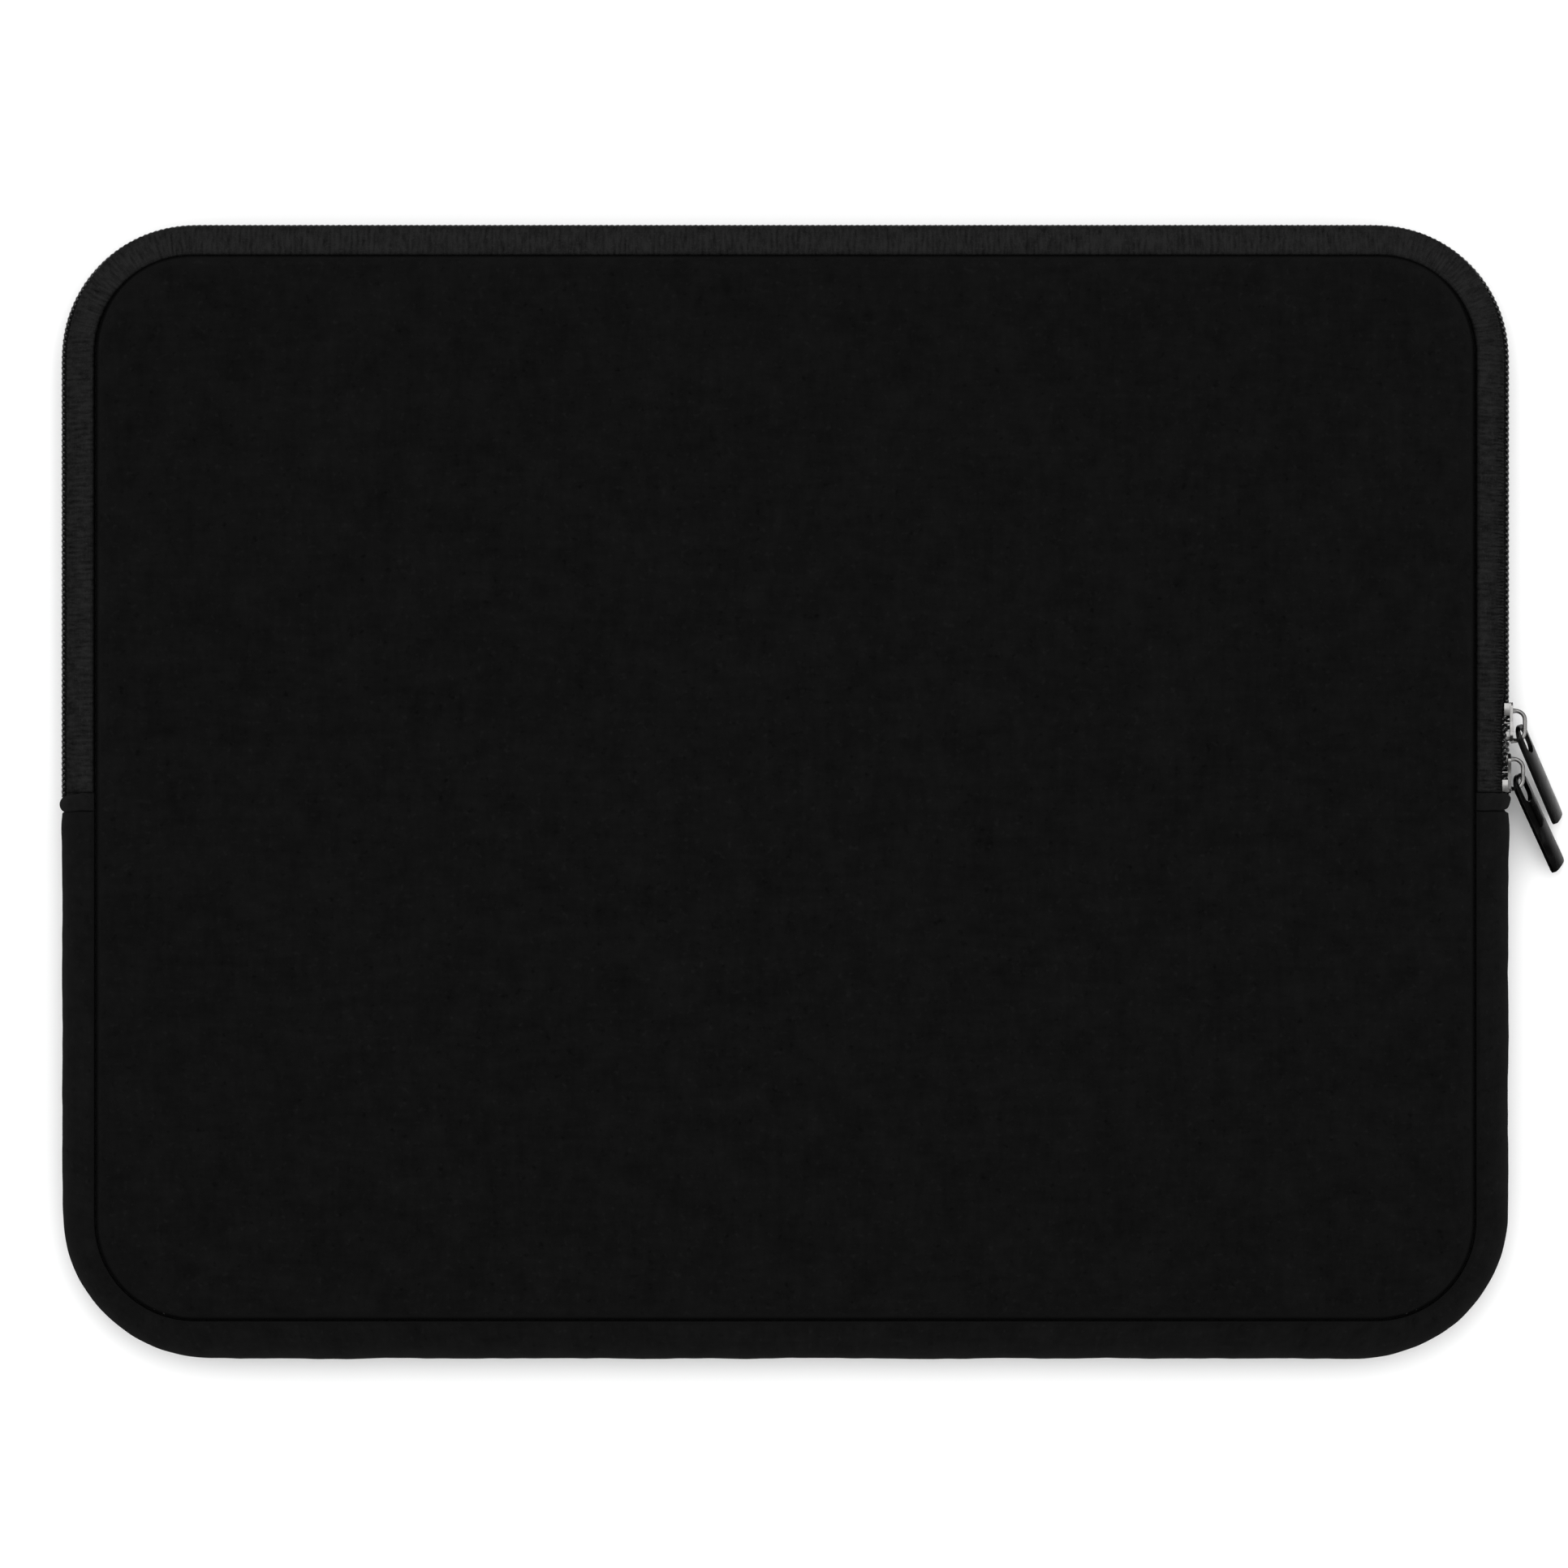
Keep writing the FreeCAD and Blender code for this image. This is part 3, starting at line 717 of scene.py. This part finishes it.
def tape(name, front):
    """Woven zip tape: it puckers at every stitch of the coil, and more loosely beside the seam."""
    out, height, across = thicken(*tape_line(), TAPE_WALL)
    along = np.linspace(0, UPPER_EDGE.length, int(UPPER_EDGE.length / 0.3))
    seed = 61 if front else 71
    share = across / across.max()
    pucker = 0.055 * np.sin(2 * np.pi * along / COIL_PITCH) * (0.6 + 0.4 * waver(along, 11.0, seed))
    loose = 0.09 * waver(along, 2.6, seed + 1) + 0.12 * waver(along, 17.0, seed + 2)
    beside_coil = np.exp(-(((share - 0.75) / 0.22) ** 2))[None]
    fall = beside_coil * pucker[:, None] + np.sin(np.pi * share)[None] * loose[:, None]
    rise = np.clip((height - 12.5) / (TAPE_TOP - 12.5), 0, 1)[None]
    from_end = np.minimum(along, UPPER_EDGE.length - along)
    tucked = 1.6 * np.exp(-((from_end / 1.3) ** 4))[:, None] * rise
    reach = overhang(along[:, None], height[None]) - drawn_in(along)[:, None]
    outs = out[None] * (1 + reach / TAPE_OUT) + fall * (1 - rise)
    heights = height[None] + fall * rise - tucked
    piece = UPPER_EDGE.sweep(name, along, (outs, heights), across)
    if not front:
        piece.data.transform(TURN_OVER)
        outward(piece)
    finish_piece(piece, "zip_tape", zip_nodes("zip_tape", front), bends=front)


def rows_apart(along):
    """The share to which the rows of coil are held open, 1 up to the inside of the upper slider and 0 beyond,
    and the distance from the middle of the zip to the middle of a row."""
    place = UPPER_EDGE.at(along, np.full_like(along, COIL_OUT), np.full_like(along, MID))
    held = 1 - ease(place[:, 1], SLIDER_TOP - 4.0, SLIDER_TOP + 1.0)
    parted = np.where(place[:, 0] > 0, held, 0.0)
    return parted, COIL_CLOSED + (COIL_OPEN - COIL_CLOSED) * parted


def coil(name, front):
    """A row of coil: one nylon helix of flattened loops, half a pitch from the other row's."""
    steps = 14
    length = UPPER_EDGE.length - 2 * COIL_START
    turns = round(length / COIL_PITCH)
    first = 0 if front else np.pi
    angle = first + np.linspace(0, 2 * np.pi * turns, turns * steps)
    square = np.sin(2 * angle) / (4 * np.pi)  # holds the wire square to the edge over the top of each turn
    along = COIL_START + length * ((angle - first) / (2 * np.pi) + square) / turns
    parted, middle = rows_apart(along)
    lean = -0.6 if front else 0.2  # held open, the front row leans in over the tape
    centre = COIL_OUT + lean * parted
    out = centre + COIL_DEEP * np.cos(angle)
    height = MID + middle + COIL_WIDE * np.sin(angle)
    line = UPPER_EDGE.at(along, out, height)
    away = line - UPPER_EDGE.at(along, centre - 0.05, MID + middle)
    rings = tube(line, WIRE, 7, away)
    cloth = np.broadcast_to(np.stack([along, out, height], -1)[:, None], rings.shape)
    piece = loft(name, on_face(rings, front), cloth)
    finish_piece(piece, "nylon_coil", zip_nodes("coil", front), bends=front)


def coil_stitches(name, front):
    """The thread that zigzags over the coil's turns and holds them to the tape."""
    steps = 10
    count = int((UPPER_EDGE.length - 2.0) / COIL_PITCH)
    angle = np.linspace(0, 2 * np.pi * count, count * steps)
    along = 1.0 + COIL_PITCH * angle / (2 * np.pi)
    height = MID + rows_apart(along)[1] + COIL_WIDE + WIRE + 0.28 * np.sin(angle)
    out = TAPE_OUT + overhang(along, height) - drawn_in(along) + 0.13 + 0.08 * np.cos(2 * angle)
    line = UPPER_EDGE.at(along, out, height)
    away = UPPER_EDGE.at(along, out + 1.0, height) - line
    rings = tube(line, COIL_THREAD, 5, away)
    cloth = np.broadcast_to(np.stack([along, out, height], -1)[:, None], rings.shape)
    piece = loft(name, on_face(rings, front), cloth)
    finish_piece(piece, "coil_thread", [], bends=front)


# ---- seams ----
def seam_loop(step):
    """The whole seam line as a closed loop of points, the way out from each, and how far along it is."""
    upper = half_outline(SEAM, 1, 0.0, step)
    lower = half_outline(SEAM, -1, 0.0, step)[::-1]
    loop = np.concatenate([upper[:-1], lower[:-1]])
    onward = np.roll(loop, -1, 0) - np.roll(loop, 1, 0)
    out_way = unit(np.stack([onward[:, 1], -onward[:, 0]], 1))
    return loop, out_way, travelled(loop)


def seam_nodes(kind, front):
    """The CAD nodes of a seam's piece. The front one is divided at the fold."""
    return [f"front_{kind}_lower", f"front_{kind}_upper"] if front else [f"back_{kind}"]


def seam_stitches(name, front):
    """Lockstitches deep in the groove between a panel and the band."""
    loop, out_way, along = seam_loop(0.4)
    stitch, gap = 2.7, 0.5
    depth, arch = 4.3, 0.3  # how deep the thread lies, and how much it rises in the middle of a stitch
    phase = (along % (stitch + gap)) / stitch
    index = np.floor(along / (stitch + gap)).astype(int)
    points, faces, cloth, base = [], [], [], 0
    for k in range(index.max()):
        chosen = np.where((index == k) & (phase <= 1))[0]
        if len(chosen) < 4:
            continue
        height = THICKNESS - depth + arch * np.sin(np.pi * np.clip(phase[chosen], 0, 1)) ** 0.6
        line = np.concatenate([loop[chosen] - 0.3 * out_way[chosen], height[:, None]], 1)
        rings = tube(line, THREAD, 5, np.tile([0.0, 0.0, 1.0], (len(chosen), 1)))
        rows, columns = rings.shape[:2]
        faces += [[corner + base for corner in face] for face in capped(rows, columns)]
        base += rows * columns
        points.append(rings.reshape(-1, 3))
        nowhere = np.zeros(len(chosen))
        cloth.append(np.repeat(np.stack([along[chosen], nowhere, nowhere], 1), columns, axis=0))
    points = on_face(np.concatenate(points), front)
    piece = outward(make(name, points, faces, np.concatenate(cloth)))
    finish_piece(piece, "thread", seam_nodes("seam_thread", front), bends=front)


def binding(name, front):
    """Tape folded over the raw seam edges inside the pocket."""
    loop, out_way, along = seam_loop(1.6)
    turn = np.linspace(0, np.pi, 9)
    high, low = THICKNESS - 5.2, MID + 0.05
    middle, half = -0.95, 0.65  # where the fold is, out from the seam, and half its width
    leg = np.linspace(high, low + 1.2, 3)
    out = np.concatenate([[middle + half] * 3, middle + half * np.cos(turn), [middle - half] * 3])
    height = np.concatenate([leg, low + half - half * np.sin(turn), leg[::-1]])
    out, height, across = thicken(out, height, 0.32)
    ripple = 0.08 * waver(along, 12.0, 81)[:, None]
    flat = loop[:, None] + out_way[:, None] * (out[None] + ripple)[..., None]
    shape = flat.shape[:2]
    rings = np.concatenate([flat, np.broadcast_to(height, shape)[..., None]], -1)
    places = (np.broadcast_to(along[:, None], shape), np.broadcast_to(across, shape), np.zeros(shape))
    piece = loft(name, on_face(rings, front), np.stack(places, -1), closed_path=True)
    finish_piece(piece, "seam_binding", seam_nodes("seam_binding", front), bends=front)


# ---- metalwork ----
def bevel(piece, width):
    """Rounds a metal piece's edges and smooths it."""
    modifier = piece.modifiers.new("edges", "BEVEL")
    modifier.width = width * MM
    modifier.segments = 3
    modifier.limit_method = "ANGLE"
    modifier.angle_limit = math.radians(35)
    modifier.harden_normals = True


def prism(outline, low, high):
    """Points and faces of a prism: an outline in Y and Z, drawn out along X."""
    n = len(outline)
    points = np.concatenate([np.c_[np.full(n, x), outline] for x in (low, high)])
    around = np.arange(n)
    after = (around + 1) % n
    faces = np.stack([around, after, after + n, around + n], 1).tolist()
    return points, faces + [list(range(n)), list(range(n, 2 * n))]


def join(name, solids):
    """One mesh from several closed solids."""
    points, faces, base = [], [], 0
    for solid_points, solid_faces in solids:
        points.append(solid_points)
        faces += [[corner + base for corner in face] for face in solid_faces]
        base += len(solid_points)
    return outward(make(name, np.concatenate(points), faces))


def rounded(corners, radius, steps=5):
    """An outline with its corners rounded."""
    corners = [np.array(c, float) for c in corners]
    points = []
    for k, corner in enumerate(corners):
        before, after = corners[k - 1] - corner, corners[(k + 1) % len(corners)] - corner
        reach = min(radius, np.linalg.norm(before) / 2.1, np.linalg.norm(after) / 2.1)
        a = corner + before / np.linalg.norm(before) * reach
        b = corner + after / np.linalg.norm(after) * reach
        for t in np.linspace(0, 1, steps):
            points.append((1 - t) ** 2 * a + 2 * t * (1 - t) * corner + t**2 * b)
    return np.array(points)


PLATE = 0.75
CHANNEL = 2.75  # between a slider's two plates
NARROW, WIDE = 3.2, 3.9  # half widths of a slider's plates
POST_START, POST_END = 0.5, 2.7  # along the slider, in from its wide end
CASTING_INWARDS, BAIL_INWARDS = 0.55, 0.3  # how far in they sit from their CAD places


def slider(end, narrow_up, bail_drop):
    """A cast slider: two plates, flanges at the narrow end, the post between them, and the bail."""
    low, high = box_mm(f"{end}_slider")
    inner = low[0]
    outer = inner + PLATE + CHANNEL
    face = outer + PLATE
    half = (high[1] - low[1]) / 2
    shape = [(half, NARROW - 0.7), (half - 0.7, NARROW), (-0.6, NARROW)]
    shape += [(-2.6, WIDE), (-half + 1.3, WIDE), (-half, WIDE - 1.9)]
    shape += [(y, -z) for y, z in reversed(shape)]
    outline = rounded(shape, 0.9)
    solids = [prism(outline, inner, inner + PLATE), prism(outline, outer, face)]
    for side in (1, -1):
        near, far = side * (NARROW - 0.62), side * (NARROW - 0.04)
        for start, stop in ((half - 3.2, half - 0.15), (half - 5.1, half - 4.7)):
            flange = [(start, near), (stop, near), (stop, far), (start, far)]
            flange = rounded(flange[::side], 0.15, 3)
            solids.append(prism(flange, inner + PLATE / 2, inner + 1.0))
            solids.append(prism(flange, inner + 2.15, outer + PLATE / 2))
    root, tip = -half + POST_START, -half + POST_END
    post = rounded([(root, -0.3), (tip, -0.18), (tip, 0.18), (root, 0.3)], 0.2, 3)
    solids.append(prism(post, inner + PLATE / 2, outer + PLATE / 2))

    casting = join(f"{end}_slider_casting", solids)
    arch = bail(f"{end}_slider_casting_bail", face)
    turn = Matrix.Identity(4) if narrow_up else Matrix.Rotation(math.pi, 4, "X")
    middle = (low[1] + high[1]) / 2
    for piece, inwards, drop in ((casting, CASTING_INWARDS, 0.0), (arch, BAIL_INWARDS, bail_drop)):
        place = Matrix.Translation(Vector((-inwards, middle - drop, MID)) * MM)
        piece.data.transform(place @ turn)
    bevel(casting, 0.16)
    finish_piece(casting, "black_nickel", [f"{end}_slider"], f"{end}_slider_body")
    finish_piece(arch, "black_nickel", [], f"{end}_slider_body")


def bail(name, face):
    """The arch on the slider's outer plate, of rounded square wire that thickens where it meets the plate."""
    half, rise, bend = 3.5, 2.7, 2.2
    wire_x, wire_z, squareness = 0.5, 0.58, 0.6  # the wire's half sizes, and how square it is
    turn = np.linspace(0, np.pi / 2, 9)
    leg = np.stack([np.linspace(-0.6, rise - bend, 5), np.full(5, half)], 1)[:-1]
    corner = np.stack([rise - bend + bend * np.sin(turn), half - bend + bend * np.cos(turn)], 1)
    top = np.stack([np.full(5, rise), np.linspace(half - bend, 0, 6)[1:]], 1)
    right = np.concatenate([leg, corner, top])
    path = np.concatenate([right, right[-2::-1] * [1, -1]])
    line = np.concatenate([path + [face, 0], np.zeros((len(path), 1))], 1)
    up = np.array([0, 0, 1.0])
    side = np.cross(unit(np.gradient(line, axis=0)), up)
    around = np.linspace(0, 2 * np.pi, 16, endpoint=False)
    square_x = np.sign(np.cos(around)) * abs(np.cos(around)) ** squareness * wire_x
    square_z = np.sign(np.sin(around)) * abs(np.sin(around)) ** squareness * wire_z
    foot = 1 + 0.35 * np.exp(-(((path[:, 0] + 0.4) / 0.6) ** 2))
    section = side[:, None] * square_x[None, :, None] + up * square_z[None, :, None]
    rings = line[:, None] + section * foot[:, None, None]
    return loft(name, rings, rings)


def pull(end, along, across):
    """A flat pull tab: round slotted head, parallel sides, square foot, and a gently crowned face. along and
    across are the ways that its length and its width point."""
    length, half = 25.0, 3.5
    edge, crown = 0.85, 1.25  # thickness at the rim and in the middle
    bar, slot_half, slot_long = 0.85, 2.0, 6.4
    hinge_depth = 0.375  # the hinge runs through the bar, this far from the flat face
    columns = 144
    around = np.linspace(0, 2 * np.pi, columns, endpoint=False)
    direction = np.stack([-np.cos(around), np.sin(around)], 1)
    first, last = bar + slot_half, bar + slot_long - slot_half
    centre = np.stack([np.where(direction[:, 0] < 0, first, last), np.zeros(columns)], 1)
    slot = centre + direction * slot_half

    foot = rounded([(half, half), (length, half), (length, -half), (half, -half)], 0.9, 7)
    head_turn = np.linspace(-np.pi / 2, np.pi / 2, 31)
    head = np.stack([half - half * np.cos(head_turn), half * np.sin(head_turn)], 1)
    rim_line = np.concatenate([head[15:-1], foot[7:21], head[:16]])
    travel = travelled(rim_line)
    quarters = [0, 0.115, 0.5, 0.885, 1.0]  # how far round the rim each quarter of the slot reaches
    reached = np.interp(around, np.linspace(0, 2 * np.pi, 5), quarters) * travel[-1]
    outer = np.stack([np.interp(reached, travel, rim_line[:, k]) for k in range(2)], 1)

    steps = np.concatenate([[0, 0.03, 0.08], np.linspace(0.16, 0.84, 12), [0.92, 0.97, 1.0]])
    flat = slot[None] * (1 - steps)[:, None, None] + outer[None] * steps[:, None, None]
    dome = edge + (crown - edge) * (1 - (flat[..., 1] / half) ** 2) * ease(flat[..., 0], 0.9, 3.0)
    top = np.concatenate([flat, dome[..., None]], -1)
    bottom = np.concatenate([flat, np.zeros_like(dome)[..., None]], -1)
    points = np.concatenate([top.reshape(-1, 3), bottom.reshape(-1, 3)])
    rows = len(steps)
    count = rows * columns
    faces = strip_faces(rows, columns, False, True)
    inside = np.arange(columns)
    after = (inside + 1) % columns
    walls = np.stack([inside, after, after + count, inside + count], 1)
    outside_walls = walls + (rows - 1) * columns
    shape = np.concatenate([faces, faces + count, walls, outside_walls])
    piece = outward(make(f"{end}_pull_bar", points, shape))

    x_way = Vector(along).normalized()
    y_way = Vector(across)
    y_way = (y_way - x_way * y_way.dot(x_way)).normalized()
    turn = Matrix((x_way, y_way, x_way.cross(y_way))).transposed().to_4x4()
    to_hinge = Matrix.Translation(Vector((-bar / 2, 0, -hinge_depth)) * MM)
    hinge = Matrix.Translation(Vector(joint_mm(f"{end}_pull_swing")) * MM)
    piece.data.transform(hinge @ turn @ to_hinge)
    bevel(piece, 0.2)
    finish_piece(piece, "pull_lacquer", [f"{end}_pull_tab"], f"{end}_pull")


# ---- stage ----
def stage():
    """White paper under the sleeve, which the metal doesn't mirror."""
    half = 6.0
    corners = [(-half, -half, 0), (half, -half, 0), (half, half, 0), (-half, half, 0)]
    mesh = bpy.data.meshes.new("floor")
    mesh.from_pydata(corners, [], [(0, 1, 2, 3)])
    floor = bpy.data.objects.new("floor", mesh)
    bpy.context.collection.objects.link(floor)
    floor.location.z = -0.0002  # just clear of the back panel
    paper = Shader("floor_paper", Roughness=1.0, Specular_IOR_Level=0.0)
    paper.bsdf.inputs["Base Color"].default_value = (0.95, 0.95, 0.95, 1)
    mesh.materials.append(paper.material)
    floor.visible_glossy = False


def lamp(name, place, aim, size, power):
    """A soft square light."""
    light = bpy.data.lights.new(name, "AREA")
    light.size = size
    light.energy = power
    made = bpy.data.objects.new(name, light)
    bpy.context.collection.objects.link(made)
    made.location = place
    made.rotation_mode = "QUATERNION"
    made.rotation_quaternion = (Vector(aim) - Vector(place)).to_track_quat("-Z", "Y")


DARK_CORNER = (-0.43, -0.72, 0.54)  # from the sleeve, where the room is unlit
SKY_STRENGTH = 2.15


def studio_sky():
    """Light from overhead, darker walls at table height, and a lit table that ends a little way off."""
    world = bpy.data.worlds.new("studio")
    world.use_nodes = True
    tree = world.node_tree
    background = tree.nodes["Background"]

    add = partial(add_node, tree)

    def times(a, b):
        return add("ShaderNodeMath", {0: a, 1: b}, operation="MULTIPLY").outputs[0]

    path = add("ShaderNodeLightPath").outputs
    direction = add("ShaderNodeTexCoord").outputs["Generated"]
    height = add("ShaderNodeSeparateXYZ", {0: direction}).outputs["Z"]
    climb = add("ShaderNodeMapRange", {"Value": height, "From Min": -1.0}).outputs[0]
    ramp = add("ShaderNodeValToRGB", {0: climb})
    levels = ((-1.0, 0.36), (-0.82, 0.3), (-0.35, 0.04), (0.06, 0.04), (0.26, 0.36), (0.6, 0.6), (1.0, 0.62))
    ramp.color_ramp.interpolation = "EASE"
    while len(ramp.color_ramp.elements) < len(levels):
        ramp.color_ramp.elements.new(0.5)
    for element, (z, level) in zip(ramp.color_ramp.elements, levels):
        element.position = (z + 1) / 2
        element.color = (level, level, level, 1)

    # polished metal mirrors one dark corner of the room, which is too far off to shade the table
    facing = add("ShaderNodeVectorMath", {0: direction, 1: DARK_CORNER}, operation="DOT_PRODUCT")
    falloff = {"Value": facing.outputs["Value"], "From Min": 0.45, "From Max": 0.85, "To Max": 0.9}
    lost = add("ShaderNodeMapRange", falloff, interpolation_type="SMOOTHSTEP").outputs[0]
    mirrored = times(lost, path["Is Glossy Ray"])
    kept = add("ShaderNodeMath", {0: 1.0, 1: mirrored}, operation="SUBTRACT").outputs[0]
    strength = times(times(ramp.outputs["Color"], kept), SKY_STRENGTH)
    background.inputs["Color"].default_value = (1, 1, 1, 1)
    tree.links.new(strength, background.inputs["Strength"])

    # the camera sees plain white past the edge of the floor
    backdrop = add("ShaderNodeBackground", {"Color": (1, 1, 1, 1)}).outputs[0]
    choices = {0: path["Is Camera Ray"], 1: background.outputs[0], 2: backdrop}
    seen = add("ShaderNodeMixShader", choices).outputs[0]
    tree.links.new(seen, tree.nodes["World Output"].inputs[0])
    bpy.context.scene.world = world


def lights():
    """The sky, two lamps, and plain tones with no film look."""
    studio_sky()
    lamp("key", (-0.1, 0.7, 1.9), (0, 0, 0), 1.4, 14)
    lamp("fill", (1.3, -0.5, 1.4), (0, 0, 0), 2.2, 4)
    scene = bpy.context.scene
    scene.view_settings.view_transform = "Standard"
    scene.view_settings.look = "None"


def camera():
    """Straight down from far off, with a long lens, so there is hardly any perspective."""
    field = 0.3688  # width of the view at half the sleeve's thickness
    centre = Vector((-0.0003, 0.0019, MID * MM))
    data = bpy.data.cameras.new("camera")
    data.sensor_width = 36
    data.lens = 300
    made = bpy.data.objects.new("camera", data)
    bpy.context.collection.objects.link(made)
    made.location = centre + Vector((0, 0, field * data.lens / data.sensor_width))
    data.clip_start, data.clip_end = 0.1, 20
    bpy.context.scene.camera = made


# ---- everything ----
def build():
    """The sleeve, its floor, the light and the camera."""
    panels()
    linings()
    lower_half()
    end_tab(1, "end_tab_right_fold", "zip_end_tab_right")
    end_tab(-1, "end_tab_left_fold", "zip_end_tab_left")
    for front, face in ((True, "front"), (False, "back")):
        tape(f"{face}_tape_weave", front)
        coil(f"{face}_coil_wire", front)
        coil_stitches(f"{face}_coil_stitches", front)
        seam_stitches(f"{face}_seam_stitches", front)
        binding(f"{face}_binding_fold", front)
    slider("upper", True, bail_drop=0.8)
    slider("lower", False, bail_drop=0.2)
    pull("upper", along=(0.39, -0.88, -0.27), across=(0.25, 0.41, -0.87))
    pull("lower", along=(0.40, -0.84, -0.275), across=(0.31, 0.54, -0.78))
    stage()
    lights()
    camera()


build()
